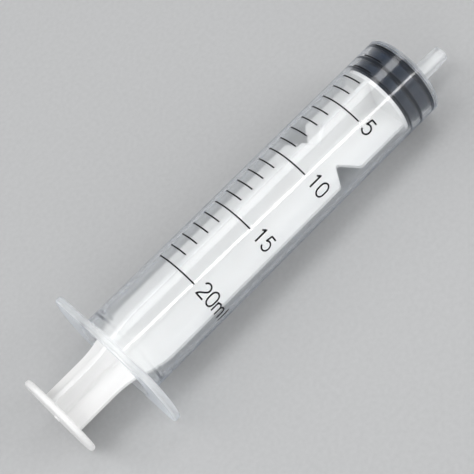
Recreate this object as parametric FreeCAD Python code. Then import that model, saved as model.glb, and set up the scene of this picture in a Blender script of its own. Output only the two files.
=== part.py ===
# Twenty millilitre disposable syringe with an off-centre slip nozzle, lying on its finger flange.
# Three mouldings: a clear barrel, a rubber stopper with sealing ribs, and a plunger that snaps into it.
# Millimetres. +X runs along the barrel towards the nozzle, +Z is up, away from the nozzle's side.
# Pieces are drawn about the barrel's axis, with x = 0 at the zero line of the scale, which the
# stopper's front rib covers when it is pushed home, and are moved to the resting place at the end.

import math
import os

import FreeCAD
import Part

Vector = FreeCAD.Vector
X_AXIS = Vector(1, 0, 0)
MATCH = 1e-6                    # how closely an edge is matched when it is picked out

# Bore and the scale that it carries
bore_diameter = 19.2
barrel_wall = 1.0
capacity_ml = 20.0
reserve_length = 21.3           # last scale line to the flange's front face

# Barrel front and nozzle
front_wall = 1.0
front_edge_chamfer = 0.35
nozzle_offset = 4.9             # nozzle axis below the barrel axis
nozzle_length = 11.8
nozzle_tip_diameter = 3.98
nozzle_taper = 0.06             # change of diameter for each millimetre of length
nozzle_tip_round = 0.55
nozzle_root_slope = 0.5         # small cone at the nozzle's root
passage_diameter = 2.1

# Finger flange and mouth
flange_wing_reach = 8.2         # wing tips beyond the barrel's surface
flange_flat_rise = 0.6          # flat sides beyond the barrel's surface
flange_thickness = 1.7
flange_corner_round = 5.0
flange_edge_chamfer = 0.4
flange_root_slope = 0.4         # small cone between flange and tube
mouth_chamfer = 0.8
bead_height = 0.22              # retaining bead inside the mouth
bead_half_length = 0.9
bead_crest_half = 0.25
bead_from_flange = 3.2          # flange's front face to the top of the bead

# Stopper
stopper_length = 8.2
rib_past_zero = 0.47            # stopper's front face beyond the zero line
stopper_clearance = 0.05        # sealing rib to bore, radial
front_gap = 0.12                # stopper's front face to the front wall
groove_depth = 0.55
front_rib_width = 0.95
middle_rib_start = 4.0          # from the stopper's front face
middle_rib_width = 0.75
rear_rib_width = 0.5
groove_slope = 0.3              # run of the slope between a rib and its groove

# Barbed head of the plunger, and its socket in the stopper
neck_diameter = 10.4
neck_length = 1.5
barb_diameter = 13.2
barb_length = 1.6
nose_diameter = 9.2
nose_length = 2.1
socket_clearance = 0.06

# Plunger shaft
front_disc_thickness = 0.9
front_disc_clearance = 0.3      # front disc to bore, radial
fin_thickness = 1.0
fin_root_round = 0.8
wide_fin_clearance = 0.55       # wide fins to bore, radial
narrow_half_width = 6.1
finger_gap = 15.9               # flange's rear face to the thumb disc when pushed home
narrow_length = 14.5            # thumb disc to the corner where the fins widen
widening_length = 8.0
widening_round = 22.0

# Notches in the fins
notch_from_disc = 17.3          # front disc's rear face to the middle of the notch
notch_mouth = 6.6
notch_depth = 4.7
notch_apex_round = 0.5
notch_edge_round = 1.4

# Thumb disc
thumb_diameter = 21.0
thumb_thickness = 1.5
thumb_edge_round = 0.68
gate_diameter = 1.6
gate_height = 0.35

# Sizes that follow from the ones above
bore_radius = bore_diameter / 2
barrel_radius = bore_radius + barrel_wall
flange_length = 2 * (barrel_radius + flange_wing_reach)
flange_width = 2 * (barrel_radius + flange_flat_rise)
ml_length = 1000.0 / (math.pi * bore_radius ** 2)
stopper_front_x = rib_past_zero
stopper_rear_x = stopper_front_x - stopper_length
wall_x = stopper_front_x + front_gap
front_x = wall_x + front_wall
nozzle_tip_x = front_x + nozzle_length
flange_front_x = -capacity_ml * ml_length - reserve_length
mouth_x = flange_front_x - flange_thickness
bead_x = flange_front_x + bead_from_flange
rear_rib_start = stopper_length - groove_slope - rear_rib_width
rib_radius = bore_radius - stopper_clearance
groove_radius = rib_radius - groove_depth
disc_front_x = stopper_rear_x - socket_clearance
disc_rear_x = disc_front_x - front_disc_thickness
thumb_front_x = mouth_x - finger_gap
thumb_rear_x = thumb_front_x - thumb_thickness
wide_half_width = bore_radius - wide_fin_clearance
widening_x = thumb_front_x + narrow_length
notch_x = disc_rear_x - notch_from_disc

# Resting place: the flange's lower flat side on z = 0, and the whole length centred on x = 0
rear_end_x = thumb_rear_x - gate_height
axis_height = flange_width / 2
zero_line_x = -(rear_end_x + nozzle_tip_x) / 2


def rounded_wire(corners):
    """Closed wire through (u, v, radius) corners in the XZ plane, each rounded by its radius."""
    points = [Vector(u, 0, v) for u, v, radius in corners]
    turns = []
    for i, (u, v, radius) in enumerate(corners):
        here = points[i]
        if radius == 0:
            turns.append((here, here, here))
            continue
        back = (points[i - 1] - here).normalize()
        ahead = (points[(i + 1) % len(points)] - here).normalize()
        half_angle = back.getAngle(ahead) / 2
        reach = radius / math.tan(half_angle)
        inward = (back + ahead).normalize()
        middle = here + inward * (radius / math.sin(half_angle) - radius)
        turns.append((here + back * reach, middle, here + ahead * reach))
    edges = []
    for i, (start, middle, end) in enumerate(turns):
        if start != end:
            edges.append(Part.Arc(start, middle, end).toShape())
        next_start = turns[(i + 1) % len(turns)][0]
        edges.append(Part.makeLine(end, next_start))
    return Part.Wire(edges)


def turned(corners, below_axis=0.0):
    """Solid of revolution of an (x, radius, rounding) outline about a line along X."""
    solid = Part.Face(rounded_wire(corners)).revolve(Vector(0, 0, 0), X_AXIS, 360)
    solid.translate(Vector(0, 0, -below_axis))
    return solid


def rod(start_x, end_x, diameter, below_axis=0.0):
    """Plain cylinder along X."""
    return Part.makeCylinder(diameter / 2, end_x - start_x, Vector(start_x, 0, -below_axis), X_AXIS)


def flange_plate():
    """Finger flange: a round plate with two flat sides, rounded corners and chamfered edges."""
    round_plate = rod(mouth_x, flange_front_x, flange_length)
    strip = Part.makeBox(flange_thickness, flange_length, flange_width,
                         Vector(mouth_x, -flange_length / 2, -flange_width / 2))
    plate = round_plate.common(strip)
    corner_y = math.sqrt(flange_length ** 2 - flange_width ** 2) / 2
    corners = [edge for edge in plate.Edges
               if abs(edge.BoundBox.XLength - flange_thickness) < MATCH
               and abs(abs(edge.CenterOfMass.y) - corner_y) < MATCH]
    plate = plate.makeFillet(flange_corner_round, corners)
    rims = [edge for edge in plate.Edges if edge.BoundBox.XLength < MATCH]
    return plate.makeChamfer(flange_edge_chamfer, rims)


def barrel_tube():
    """Tube with a flat front wall, a retaining bead and a chamfered mouth."""
    root_radius = barrel_radius + flange_root_slope
    return turned([
        (mouth_x, bore_radius + mouth_chamfer, 0),
        (mouth_x, root_radius, 0),
        (flange_front_x, root_radius, 0),
        (flange_front_x + flange_root_slope, barrel_radius, 0),
        (front_x - front_edge_chamfer, barrel_radius, 0),
        (front_x, barrel_radius - front_edge_chamfer, 0),
        (front_x, 0, 0),
        (wall_x, 0, 0),
        (wall_x, bore_radius, 0),
        (bead_x + bead_half_length, bore_radius, 0),
        (bead_x + bead_crest_half, bore_radius - bead_height, 0),
        (bead_x - bead_crest_half, bore_radius - bead_height, 0),
        (bead_x - bead_half_length, bore_radius, 0),
        (mouth_x + mouth_chamfer, bore_radius, 0),
    ])


def nozzle():
    """Tapered slip nozzle, rooted in the front wall below the barrel's axis."""
    root_x = wall_x + front_wall / 2
    tip_radius = nozzle_tip_diameter / 2
    base_radius = tip_radius + nozzle_taper / 2 * nozzle_length
    root_radius = base_radius + nozzle_root_slope
    return turned([
        (root_x, 0, 0),
        (root_x, root_radius, 0),
        (front_x, root_radius, 0),
        (front_x + nozzle_root_slope, base_radius, 0),
        (nozzle_tip_x, tip_radius, nozzle_tip_round),
        (nozzle_tip_x, 0, 0),
    ], nozzle_offset)


def barrel():
    body = barrel_tube().fuse(flange_plate())
    bore_in_flange = rod(mouth_x, flange_front_x + flange_thickness, bore_diameter)
    mouth = turned([
        (mouth_x, 0, 0),
        (mouth_x, bore_radius + mouth_chamfer, 0),
        (mouth_x + mouth_chamfer, bore_radius, 0),
        (mouth_x + mouth_chamfer, 0, 0),
    ])
    body = body.cut(bore_in_flange).cut(mouth).fuse(nozzle())
    passage = rod(wall_x - front_wall, nozzle_tip_x + front_wall, passage_diameter, nozzle_offset)
    return body.cut(passage).removeSplitter()


def head_outline(clearance):
    """Barbed head that the stopper snaps over, or with a clearance the socket that takes it."""
    neck_end_x = stopper_rear_x + neck_length - clearance
    barb_end_x = neck_end_x + barb_length + 2 * clearance
    nose_x = barb_end_x + nose_length
    return [
        (disc_front_x, 0, 0),
        (disc_front_x, neck_diameter / 2 + clearance, 0),
        (neck_end_x, neck_diameter / 2 + clearance, 0),
        (neck_end_x, barb_diameter / 2 + clearance, 0),
        (barb_end_x, barb_diameter / 2 + clearance, 0),
        (nose_x, nose_diameter / 2 + clearance, 0),
        (nose_x, 0, 0),
    ]


def stopper():
    """Rubber stopper with three sealing ribs and a hollow for the plunger's head."""
    ribs = [
        (0.0, front_rib_width),
        (middle_rib_start, middle_rib_width),
        (rear_rib_start, rear_rib_width),
    ]
    corners = [(stopper_front_x, 0, 0)]
    for start, width in ribs:
        rib_front_x = stopper_front_x - start
        rib_rear_x = rib_front_x - width
        if start > 0:
            corners.append((rib_front_x + groove_slope, groove_radius, 0))
        corners.append((rib_front_x, rib_radius, 0))
        corners.append((rib_rear_x, rib_radius, 0))
        corners.append((rib_rear_x - groove_slope, groove_radius, 0))
    corners.append((stopper_rear_x, 0, 0))
    return turned(corners).cut(turned(head_outline(socket_clearance)))


def crossed_fins():
    """Two full-width fins crossing at right angles, with rounded inner corners."""
    half = fin_thickness / 2
    length = disc_rear_x - thumb_front_x
    upright = Part.makeBox(length, fin_thickness, 2 * wide_half_width,
                           Vector(thumb_front_x, -half, -wide_half_width))
    level = upright.copy()
    level.rotate(Vector(0, 0, 0), X_AXIS, 90)
    cross = upright.fuse(level).removeSplitter()
    inner = [edge for edge in cross.Edges
             if abs(edge.Length - length) < MATCH
             and abs(abs(edge.CenterOfMass.y) - half) < MATCH
             and abs(abs(edge.CenterOfMass.z) - half) < MATCH]
    return cross.makeFillet(fin_root_round, inner)


def fin_outline():
    """Outline of one pair of fins: narrow by the thumb disc, wide in the bore, with a notch."""
    upper = [
        (thumb_front_x, narrow_half_width, 0),
        (widening_x, narrow_half_width, widening_round),
        (widening_x + widening_length, wide_half_width, widening_round),
        (notch_x - notch_mouth / 2, wide_half_width, notch_edge_round),
        (notch_x, wide_half_width - notch_depth, notch_apex_round),
        (notch_x + notch_mouth / 2, wide_half_width, notch_edge_round),
        (disc_rear_x, wide_half_width, 0),
    ]
    lower = [(u, -v, radius) for u, v, radius in reversed(upper)]
    return upper + lower


def plunger():
    """Thumb disc, cross-shaped shaft, front disc and barbed head as one moulding."""
    outline = Part.Face(rounded_wire(fin_outline()))
    outline.translate(Vector(0, -bore_radius, 0))
    upright = outline.extrude(Vector(0, bore_diameter, 0))
    level = upright.copy()
    level.rotate(Vector(0, 0, 0), X_AXIS, 90)
    shaft = crossed_fins().common(upright).common(level)
    thumb_disc = turned([
        (thumb_rear_x, 0, 0),
        (thumb_rear_x, thumb_diameter / 2, thumb_edge_round),
        (thumb_front_x, thumb_diameter / 2, thumb_edge_round),
        (thumb_front_x, 0, 0),
    ])
    gate_mark = rod(rear_end_x, thumb_rear_x, gate_diameter)
    front_disc = rod(disc_rear_x, disc_front_x, bore_diameter - 2 * front_disc_clearance)
    head = turned(head_outline(0.0))
    return shaft.fuse([thumb_disc, gate_mark, front_disc, head]).removeSplitter()


os.makedirs("parts", exist_ok=True)
for name, shape in (("barrel", barrel()), ("stopper", stopper()), ("plunger", plunger())):
    shape.translate(Vector(zero_line_x, 0, axis_height))
    shape.exportStep("parts/" + name + ".step")
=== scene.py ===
import math

import bpy
from mathutils import Matrix, Vector


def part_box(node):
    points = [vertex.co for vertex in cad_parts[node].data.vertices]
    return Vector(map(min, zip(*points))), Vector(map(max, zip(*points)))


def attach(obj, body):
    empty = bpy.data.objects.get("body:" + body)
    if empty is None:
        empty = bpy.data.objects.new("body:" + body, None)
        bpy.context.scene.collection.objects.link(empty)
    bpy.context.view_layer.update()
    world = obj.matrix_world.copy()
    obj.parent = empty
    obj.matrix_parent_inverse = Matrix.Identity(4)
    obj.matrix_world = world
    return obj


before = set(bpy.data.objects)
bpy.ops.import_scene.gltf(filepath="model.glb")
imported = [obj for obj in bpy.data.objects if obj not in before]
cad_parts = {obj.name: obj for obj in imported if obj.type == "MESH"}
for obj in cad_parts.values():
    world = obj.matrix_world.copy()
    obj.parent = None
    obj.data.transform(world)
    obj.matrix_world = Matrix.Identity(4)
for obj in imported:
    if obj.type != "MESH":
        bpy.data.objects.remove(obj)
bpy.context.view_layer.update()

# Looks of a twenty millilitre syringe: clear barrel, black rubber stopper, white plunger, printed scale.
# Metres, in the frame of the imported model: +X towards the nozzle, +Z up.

MM = 0.001
barrel_low, barrel_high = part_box("barrel")
stopper_low, stopper_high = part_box("stopper")

# Places that follow from the frame
AXIS_HEIGHT = (barrel_low.z + barrel_high.z) / 2
RIB_PAST_ZERO = 0.47 * MM
STOPPER_TO_FRONT_WALL = 0.12 * MM
FLANGE_THICKNESS = 1.7 * MM
ZERO_LINE_X = stopper_high.x - RIB_PAST_ZERO
FRONT_WALL_X = stopper_high.x + STOPPER_TO_FRONT_WALL
FLANGE_FRONT_X = barrel_low.x + FLANGE_THICKNESS
BORE_RADIUS = 9.6 * MM
BARREL_RADIUS = 10.6 * MM
CUBIC_METRES_PER_ML = 1e-6
ML_LENGTH = CUBIC_METRES_PER_ML / (math.pi * BORE_RADIUS ** 2)

# Share of light that goes straight through the barrel's plastic. Where it is less clear it is also
# rougher, by up to the haze's roughness at the flange.
WALL_CLEARNESS = 0.995
MOUTH_CLEARNESS = 0.94
FLANGE_CLEARNESS = 0.72
NOZZLE_CLEARNESS = 0.82
MILKY_STEP = 0.2 * MM
MILKY_PAST_FLANGE = 8 * MM
HAZE_ROUGHNESS = 0.32

# Colour of the lamps' light once it has come through the barrel
LIGHT_THROUGH = (0.66, 0.667, 0.674, 1)

# Distances from the axis in millimetres: up to the first the rubber has the lighter groove tone, a
# painted reflection off the bore; from the second it has the darkest tone of the wet ribs, painted
# without that reflection
GROOVE_REFLECTION_RADIUS = 9.05
WET_RIB_NO_REFLECTION_RADIUS = 9.4

# Rubber pressed on the bore: how far its film reaches into the clearance and past it
FILM_INNER_RADIUS = 9.5 * MM
FILM_OUTER_RADIUS = 9.612 * MM
FILM_SEGMENTS = 288

# Printed scale. Angles run about the barrel's axis, from straight up towards -Y.
INK_SINK = 0.012 * MM
INK_RISE = 0.015 * MM
MARK_WIDTH = 0.36 * MM
MARK_START = math.radians(-32.3)
SHORT_MARK_END = math.radians(-0.2)
LONG_MARK_END = math.radians(33.0)
CAPACITY_ML = 20
ML_PER_LONG_MARK = 5
GLYPH_START = math.radians(41.3)
GLYPH_HEIGHT = 3.6 * MM
GLYPH_WIDTH = 2.1 * MM
GLYPH_ADVANCE = 2.8 * MM
M_ADVANCE = 1.57 * GLYPH_ADVANCE
GLYPH_STROKE = 0.42 * MM
GLYPH_BASE_FROM_MARK = -1.05 * MM
INK_STEP = 0.2 * MM

# Camera, solved from the photograph. The barrel is turned about its axis under the camera.
PHOTO_WIDTH = 474
FOCAL_PIXELS = 1581
SENSOR_MM = 36
BARREL_TURN = math.radians(31.5)
CAMERA_TILT = math.radians(10.806)
IMAGE_ROLL = math.radians(44.736)
CAMERA_DISTANCE = 354.24 * MM
AIM_FROM_ZERO_LINE = -53.1 * MM
AIM_SIDEWAYS = -0.508 * MM
CLIP_START = 0.01
CLIP_END = 20

FLOOR_RADIUS = 0.62
FLOOR_SEGMENTS = 128

# World: strength at the horizon and below, strength overhead, and the height, as the sine of the
# angle above the horizon, from which it is as dim as overhead
HORIZON_LIGHT = 0.48
OVERHEAD_LIGHT = 0.17
OVERHEAD_FROM = 0.7
WORLD_COLOUR = (0.984, 0.99, 1.0, 1)

ALONG = Vector((1, 0, 0))
OUT = Vector((0, -math.sin(BARREL_TURN), math.cos(BARREL_TURN)))
ACROSS = Vector((0, -math.cos(BARREL_TURN), -math.sin(BARREL_TURN)))
AIM = Vector((ZERO_LINE_X + AIM_FROM_ZERO_LINE, 0, AXIS_HEIGHT)) + AIM_SIDEWAYS * ACROSS


class Shader:
    """Node tree of one material, with the few helpers that the materials below share."""

    def __init__(self, name):
        self.material = bpy.data.materials.new(name)
        self.material.use_nodes = True
        self.tree = self.material.node_tree
        self.tree.nodes.clear()
        self.output = self.add("ShaderNodeOutputMaterial")
        self.place = self.add("ShaderNodeTexCoord").outputs["Object"]

    def add(self, kind, **settings):
        node = self.tree.nodes.new(kind)
        for key, value in settings.items():
            setattr(node, key, value)
        return node

    def link(self, source, target):
        self.tree.links.new(source, target)

    def noise(self, scale, detail, stretch=(1, 1, 1)):
        """Noise over the object's own coordinates; scale is in features per metre."""
        mapping = self.add("ShaderNodeMapping")
        mapping.inputs["Scale"].default_value = stretch
        texture = self.add("ShaderNodeTexNoise")
        texture.inputs["Scale"].default_value = scale
        texture.inputs["Detail"].default_value = detail
        self.link(self.place, mapping.inputs["Vector"])
        self.link(mapping.outputs["Vector"], texture.inputs["Vector"])
        return texture.outputs["Fac"]

    def spread(self, value, low, high, start=0.3, end=0.7):
        """Value between start and end becomes a number between low and high."""
        node = self.add("ShaderNodeMapRange")
        node.inputs["From Min"].default_value = start
        node.inputs["From Max"].default_value = end
        node.inputs["To Min"].default_value = low
        node.inputs["To Max"].default_value = high
        self.link(value, node.inputs["Value"])
        return node.outputs["Result"]

    def colours(self, value, first, second, start=0.3, end=0.7):
        """Colour that goes from first to second as value goes from start to end."""
        ramp = self.add("ShaderNodeValToRGB")
        ramp.color_ramp.elements[0].position = start
        ramp.color_ramp.elements[0].color = (*first, 1)
        ramp.color_ramp.elements[1].position = end
        ramp.color_ramp.elements[1].color = (*second, 1)
        self.link(value, ramp.inputs["Fac"])
        return ramp.outputs["Color"]

    def bump(self, height, distance):
        node = self.add("ShaderNodeBump")
        node.inputs["Distance"].default_value = distance
        node.inputs["Strength"].default_value = 1
        self.link(height, node.inputs["Height"])
        return node.outputs["Normal"]

    def least(self, first, second):
        node = self.add("ShaderNodeMath", operation="MINIMUM")
        self.link(first, node.inputs[0])
        self.link(second, node.inputs[1])
        return node.outputs["Value"]

    def along(self):
        """Place along the barrel's axis, in metres."""
        split = self.add("ShaderNodeSeparateXYZ")
        self.link(self.place, split.inputs["Vector"])
        return split.outputs["X"]

    def radius(self):
        """Distance from the barrel's axis, in millimetres."""
        split = self.add("ShaderNodeSeparateXYZ")
        self.link(self.place, split.inputs["Vector"])
        sideways = self.add("ShaderNodeMath", operation="MULTIPLY")
        self.link(split.outputs["Y"], sideways.inputs[0])
        self.link(split.outputs["Y"], sideways.inputs[1])
        height = self.add("ShaderNodeMath", operation="SUBTRACT")
        height.inputs[1].default_value = AXIS_HEIGHT
        self.link(split.outputs["Z"], height.inputs[0])
        both = self.add("ShaderNodeMath", operation="MULTIPLY_ADD")
        self.link(height.outputs["Value"], both.inputs[0])
        self.link(height.outputs["Value"], both.inputs[1])
        self.link(sideways.outputs["Value"], both.inputs[2])
        root = self.add("ShaderNodeMath", operation="SQRT")
        self.link(both.outputs["Value"], root.inputs[0])
        scaled = self.add("ShaderNodeMath", operation="MULTIPLY")
        scaled.inputs[1].default_value = 1 / MM
        self.link(root.outputs["Value"], scaled.inputs[0])
        return scaled.outputs["Value"]

    def principled(self, **numbers):
        node = self.add("ShaderNodeBsdfPrincipled")
        for key, value in numbers.items():
            node.inputs[key.replace("_", " ")].default_value = value
        return node

    def finish(self, surface):
        self.link(surface, self.output.inputs["Surface"])
        return self.material


def clear_plastic():
    """Clear polypropylene with a faint blue sheen at its edges, milky and rougher at the flange, from
    the front wall to the nozzle, and slightly at the mouth. Lamps reach through it, which plain
    refraction would block."""
    s = Shader("clear_plastic")
    plastic = s.principled(IOR=1.49, Coat_Weight=0.30, Coat_Roughness=0.03, Sheen_Weight=0.07,
                           Sheen_Roughness=0.5, Sheen_Tint=(0.05, 0.40, 1.0, 1))
    along = s.along()
    mouth_end = FLANGE_FRONT_X + MILKY_PAST_FLANGE
    nozzle = s.spread(along, WALL_CLEARNESS, NOZZLE_CLEARNESS, FRONT_WALL_X, FRONT_WALL_X + MILKY_STEP)
    mouth = s.spread(along, MOUTH_CLEARNESS, WALL_CLEARNESS, FLANGE_FRONT_X, mouth_end)
    flange = s.spread(along, FLANGE_CLEARNESS, 1, FLANGE_FRONT_X, FLANGE_FRONT_X + MILKY_STEP)
    clear = s.least(s.least(nozzle, mouth), flange)
    s.link(clear, plastic.inputs["Transmission Weight"])
    flow = s.noise(500, 3, (0.12, 1, 1))
    grain = s.noise(5000, 2)
    s.link(s.colours(flow, (0.957, 0.968, 0.970), (0.981, 0.985, 0.984)), plastic.inputs["Base Color"])
    haze = s.add("ShaderNodeMath", operation="ADD")
    s.link(s.spread(clear, HAZE_ROUGHNESS, 0, FLANGE_CLEARNESS, WALL_CLEARNESS), haze.inputs[0])
    s.link(s.spread(flow, 0.10, 0.13), haze.inputs[1])
    s.link(haze.outputs["Value"], plastic.inputs["Roughness"])
    s.link(s.bump(grain, 0.0005 * MM), plastic.inputs["Normal"])
    through = s.add("ShaderNodeBsdfTransparent")
    through.inputs["Color"].default_value = LIGHT_THROUGH
    rays = s.add("ShaderNodeLightPath")
    mix = s.add("ShaderNodeMixShader")
    s.link(rays.outputs["Is Shadow Ray"], mix.inputs["Fac"])
    s.link(plastic.outputs["BSDF"], mix.inputs[1])
    s.link(through.outputs["BSDF"], mix.inputs[2])
    return s.finish(mix.outputs["Shader"])


def white_plastic():
    """Moulded polyethylene: white, slightly waxy, with faint flow marks and orange peel."""
    s = Shader("white_plastic")
    plastic = s.principled(IOR=1.5, Subsurface_Weight=0.25, Subsurface_Scale=0.8 * MM,
                           Subsurface_Radius=(1, 1, 1))
    flow = s.noise(260, 4, (0.25, 1, 1))
    peel = s.noise(2600, 2)
    s.link(s.colours(flow, (0.85, 0.847, 0.842), (0.90, 0.898, 0.894)), plastic.inputs["Base Color"])
    s.link(s.spread(flow, 0.30, 0.42), plastic.inputs["Roughness"])
    s.link(s.bump(peel, 0.012 * MM), plastic.inputs["Normal"])
    return s.finish(plastic.outputs["BSDF"])


def black_rubber():
    """Matt rubber. Its grooves are lighter, a painted reflection off the bore in front of them; its
    ribs, wet by silicone oil where they press on the bore, are darkest, painted without that reflection.
    """
    s = Shader("black_rubber")
    rubber = s.principled(IOR=1.5, Specular_IOR_Level=0.3)
    radius = s.radius()
    near_rib = s.spread(radius, 0, 1, GROOVE_REFLECTION_RADIUS, WET_RIB_NO_REFLECTION_RADIUS)
    grain = s.noise(6000, 3)
    # Lighter groove colour is a painted reflection off the bore; the near-black rib colour is rubber wet
    # by silicone oil, painted without that reflection.
    base = s.colours(near_rib, (0.008, 0.017, 0.036), (0.001, 0.004, 0.010), 0.0, 1.0)
    s.link(base, rubber.inputs["Base Color"])
    s.link(s.spread(grain, 0.40, 0.60), rubber.inputs["Roughness"])
    s.link(s.bump(grain, 0.01 * MM), rubber.inputs["Normal"])
    return s.finish(rubber.outputs["BSDF"])


def black_ink():
    """Screen-printed ink, slightly uneven where the print is thin."""
    s = Shader("black_ink")
    ink = s.principled(IOR=1.5, Specular_IOR_Level=0.12)
    patches = s.noise(7000, 3)
    s.link(s.colours(patches, (0.003, 0.003, 0.004), (0.010, 0.010, 0.012)), ink.inputs["Base Color"])
    s.link(s.spread(patches, 0.35, 0.55), ink.inputs["Roughness"])
    s.link(s.bump(patches, 0.004 * MM), ink.inputs["Normal"])
    return s.finish(ink.outputs["BSDF"])


def floor_material():
    s = Shader("floor")
    board = s.principled()
    grain = s.noise(900, 4)
    s.link(s.colours(grain, (0.475, 0.48, 0.485), (0.51, 0.515, 0.52)), board.inputs["Base Color"])
    s.link(s.spread(grain, 0.75, 0.9), board.inputs["Roughness"])
    return s.finish(board.outputs["BSDF"])


def add_mesh(name, vertices, faces, material):
    mesh = bpy.data.meshes.new(name)
    mesh.from_pydata(vertices, [], faces)
    mesh.materials.append(material)
    mesh_object = bpy.data.objects.new(name, mesh)
    bpy.context.scene.collection.objects.link(mesh_object)
    return mesh_object


def arc(centre, radii, start, end):
    """Points on an elliptic arc, with angles in degrees, in glyph units."""
    steps = max(6, round(abs(end - start) / 12))
    points = []
    for i in range(steps + 1):
        angle = math.radians(start + (end - start) * i / steps)
        points.append((centre[0] + radii[0] * math.cos(angle), centre[1] + radii[1] * math.sin(angle)))
    return points


def glyph(character):
    """Centre lines of a plain single-stroke letter, as (path, is_closed), one unit wide and high."""
    if character == "0":
        upper = arc((0.5, 0.64), (0.5, 0.36), 0, 180)
        lower = arc((0.5, 0.36), (0.5, 0.36), 180, 360)
        return [(upper + lower, True)]
    if character == "1":
        return [([(0.22, 0.80), (0.36, 0.86), (0.56, 1.0), (0.56, 0.0)], False)]
    if character == "2":
        bowl = arc((0.48, 0.70), (0.46, 0.30), 160, -35)
        return [(bowl + [(0.60, 0.38), (0.22, 0.20), (0.0, 0.0), (1.0, 0.0)], False)]
    if character == "5":
        bowl = arc((0.46, 0.33), (0.50, 0.33), 140, -155)
        return [([(0.88, 1.0), (0.20, 1.0)] + bowl, False)]
    if character == "m":
        first = arc((0.37, 0.46), (0.37, 0.24), 170, 0)
        second = arc((1.11, 0.46), (0.37, 0.24), 170, 0)
        stem = [(0.0, 0.70), (0.0, 0.0)]
        return [(stem, False), (first + [(0.74, 0.0)], False), (second + [(1.48, 0.0)], False)]
    return [([(0.0, 1.0), (0.0, 0.0)], False)]


class Ink:
    """Mesh of thin closed ribbons, laid flat as (around, along) in metres and wrapped on the barrel.
    They sink into its surface a little, as ink keys to plastic, so they are black from behind too."""

    def __init__(self):
        self.vertices = []
        self.faces = []

    def wrap(self, around, along, lift):
        radius = BARREL_RADIUS + lift
        angle = around / BARREL_RADIUS
        y = -radius * math.sin(angle)
        z = AXIS_HEIGHT + radius * math.cos(angle)
        self.vertices.append((ZERO_LINE_X + along, y, z))

    def finely(self, path, closed):
        """The same path with no stretch longer than a step, so that it bends with the barrel."""
        ends = path[1:] + path[:1] if closed else path[1:]
        points = []
        for start, end in zip(path, ends):
            steps = max(1, math.ceil((end - start).length / INK_STEP))
            points += [start.lerp(end, i / steps) for i in range(steps)]
        return points if closed else points + [path[-1]]

    def stroke(self, path, width, closed=False):
        """One ribbon of this width along a flat path."""
        points = self.finely([Vector(p) for p in path], closed)
        count = len(points)
        first = len(self.vertices)
        for i, point in enumerate(points):
            before = points[i - 1] if closed or i > 0 else point
            after = points[(i + 1) % count] if closed or i < count - 1 else point
            heading = (after - before).normalized()
            offset = Vector((-heading.y, heading.x)) * width / 2
            for side in (point + offset, point - offset):
                self.wrap(side.x, side.y, -INK_SINK)
                self.wrap(side.x, side.y, INK_RISE)
        spans = count if closed else count - 1
        for i in range(spans):
            a = first + 4 * i
            b = first + 4 * ((i + 1) % count)
            for p, q in ((0, 1), (1, 3), (3, 2), (2, 0)):
                self.faces.append((a + p, b + p, b + q, a + q))
        if not closed:
            last = first + 4 * (count - 1)
            self.faces.append((first, first + 1, first + 3, first + 2))
            self.faces.append((last + 2, last + 3, last + 1, last))

    def text(self, characters, start, base):
        """Characters read away from the marks, with their tops towards the nozzle."""
        for character in characters:
            for path, closed in glyph(character):
                placed = [(start + u * GLYPH_WIDTH, base + v * GLYPH_HEIGHT) for u, v in path]
                self.stroke(placed, GLYPH_STROKE, closed)
            start += M_ADVANCE if character == "m" else GLYPH_ADVANCE


def printed_scale():
    """Graduation marks, numbers and unit, as one piece on the barrel."""
    ink = Ink()
    for millilitres in range(CAPACITY_ML + 1):
        along = -millilitres * ML_LENGTH
        is_long = millilitres > 0 and millilitres % ML_PER_LONG_MARK == 0
        end = LONG_MARK_END if is_long else SHORT_MARK_END
        ink.stroke([(MARK_START * BARREL_RADIUS, along), (end * BARREL_RADIUS, along)], MARK_WIDTH)
        if is_long:
            label = str(millilitres) + ("ml" if millilitres == CAPACITY_ML else "")
            ink.text(label, GLYPH_START * BARREL_RADIUS, along + GLYPH_BASE_FROM_MARK)
    piece = add_mesh("printed_scale", ink.vertices, ink.faces, black_ink())
    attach(piece, "barrel")


def rib_film():
    """Rings where the sealing ribs wet the bore, so that no air gap mirrors light in front of them."""
    ends = set()
    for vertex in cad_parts["stopper"].data.vertices:
        radius = math.hypot(vertex.co.y, vertex.co.z - AXIS_HEIGHT)
        if radius > FILM_INNER_RADIUS:
            ends.add(round(vertex.co.x, 5))
    ends = sorted(ends)
    vertices = []
    faces = []
    for rear, front in zip(ends[::2], ends[1::2]):
        corners = [(rear, FILM_INNER_RADIUS), (front, FILM_INNER_RADIUS),
                   (front, FILM_OUTER_RADIUS), (rear, FILM_OUTER_RADIUS)]
        first = len(vertices)
        for i in range(FILM_SEGMENTS):
            angle = 2 * math.pi * i / FILM_SEGMENTS
            for x, radius in corners:
                vertices.append((x, radius * math.cos(angle), AXIS_HEIGHT + radius * math.sin(angle)))
        for i in range(FILM_SEGMENTS):
            a = first + 4 * i
            b = first + 4 * ((i + 1) % FILM_SEGMENTS)
            for k in range(4):
                faces.append((a + k, a + (k + 1) % 4, b + (k + 1) % 4, b + k))
    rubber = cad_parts["stopper"].data.materials[0]
    piece = add_mesh("rib_film", vertices, faces, rubber)
    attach(piece, "stopper")


def dress(node, material):
    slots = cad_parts[node].data.materials
    slots.clear()
    slots.append(material)


def beside(angle):
    """Direction that the barrel mirrors to the camera, turned about its axis by an angle in degrees
    from the camera's side, towards the numbers."""
    angle = math.radians(angle)
    return math.cos(angle) * OUT + math.sin(angle) * ACROSS + math.tan(CAMERA_TILT) * ALONG


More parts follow.
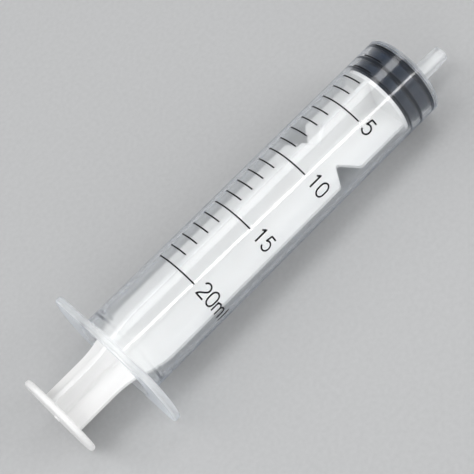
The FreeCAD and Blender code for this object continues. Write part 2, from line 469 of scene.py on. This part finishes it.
def area_lamp(name, direction, distance, width, length, power, slant=0):
    """Soft rectangular lamp that faces the middle of the barrel, with its length along the barrel,
    or slanted by some degrees, its nozzle end towards the numbers' side."""
    lamp = bpy.data.lights.new(name, "AREA")
    lamp.shape = "RECTANGLE"
    lamp.size = length
    lamp.size_y = width
    lamp.energy = power
    lamp_object = bpy.data.objects.new(name, lamp)
    back = direction.normalized()
    level = back.cross(ALONG).normalized()
    level = Matrix.Rotation(math.radians(-slant), 3, back) @ level
    lengthways = level.cross(back)
    turn = Matrix((lengthways, level, back)).transposed().to_4x4()
    lamp_object.matrix_world = Matrix.Translation(AIM + direction * distance) @ turn
    bpy.context.scene.collection.objects.link(lamp_object)


def world_light():
    """Pale studio all round, dimmer overhead. Camera, glass and object all see the same one."""
    world = bpy.data.worlds.new("studio")
    world.use_nodes = True
    tree = world.node_tree
    tree.nodes.clear()
    direction = tree.nodes.new("ShaderNodeTexCoord")
    split = tree.nodes.new("ShaderNodeSeparateXYZ")
    level = tree.nodes.new("ShaderNodeMapRange")
    level.inputs["From Min"].default_value = 0
    level.inputs["From Max"].default_value = OVERHEAD_FROM
    level.inputs["To Min"].default_value = HORIZON_LIGHT
    level.inputs["To Max"].default_value = OVERHEAD_LIGHT
    light = tree.nodes.new("ShaderNodeBackground")
    light.inputs["Color"].default_value = WORLD_COLOUR
    output = tree.nodes.new("ShaderNodeOutputWorld")
    tree.links.new(direction.outputs["Generated"], split.inputs["Vector"])
    tree.links.new(split.outputs["Z"], level.inputs["Value"])
    tree.links.new(level.outputs["Result"], light.inputs["Strength"])
    tree.links.new(light.outputs["Background"], output.inputs["Surface"])
    bpy.context.scene.world = world


def floor():
    """Round board. Its edge lies inside the lamps' reach, so the pale backdrop takes over from it."""
    rim = []
    for i in range(FLOOR_SEGMENTS):
        angle = 2 * math.pi * i / FLOOR_SEGMENTS
        rim.append((AIM.x + FLOOR_RADIUS * math.cos(angle), FLOOR_RADIUS * math.sin(angle), 0))
    board = add_mesh("floor", rim, [range(FLOOR_SEGMENTS)], floor_material())


def camera():
    tilted = math.cos(CAMERA_TILT) * ALONG + math.sin(CAMERA_TILT) * OUT
    right = math.cos(IMAGE_ROLL) * tilted + math.sin(IMAGE_ROLL) * ACROSS
    up = math.sin(IMAGE_ROLL) * tilted - math.cos(IMAGE_ROLL) * ACROSS
    back = right.cross(up)
    data = bpy.data.cameras.new("camera")
    data.sensor_width = SENSOR_MM
    data.lens = FOCAL_PIXELS / PHOTO_WIDTH * SENSOR_MM
    data.clip_start = CLIP_START
    data.clip_end = CLIP_END
    view = bpy.data.objects.new("camera", data)
    turn = Matrix((right, up, back)).transposed().to_4x4()
    view.matrix_world = Matrix.Translation(AIM + back * CAMERA_DISTANCE) @ turn
    bpy.context.scene.collection.objects.link(view)
    bpy.context.scene.camera = view


dress("barrel", clear_plastic())
dress("stopper", black_rubber())
rib_film()
dress("plunger", white_plastic())
printed_scale()

camera()
floor()
area_lamp("key", beside(-40), distance=0.9, width=0.32, length=1.2, power=2.8)
area_lamp("strip", beside(3.5), distance=0.8, width=0.040, length=0.9, power=1.0, slant=43)
nozzle_end = Vector((0.75, -0.75, 0.35))
area_lamp("nozzle_end", nozzle_end, distance=1.1, width=1.1, length=0.8, power=6.2)
thumb_end = Vector((-0.75, -0.65, 0.35))
area_lamp("thumb_end", thumb_end, distance=1.1, width=1.2, length=1.0, power=5.3)
far_side = Vector((-0.55, 0.40, 0.85))
area_lamp("far_side", far_side, distance=1.1, width=1.5, length=0.8, power=7.2)
world_light()
bpy.context.scene.view_settings.view_transform = "Standard"
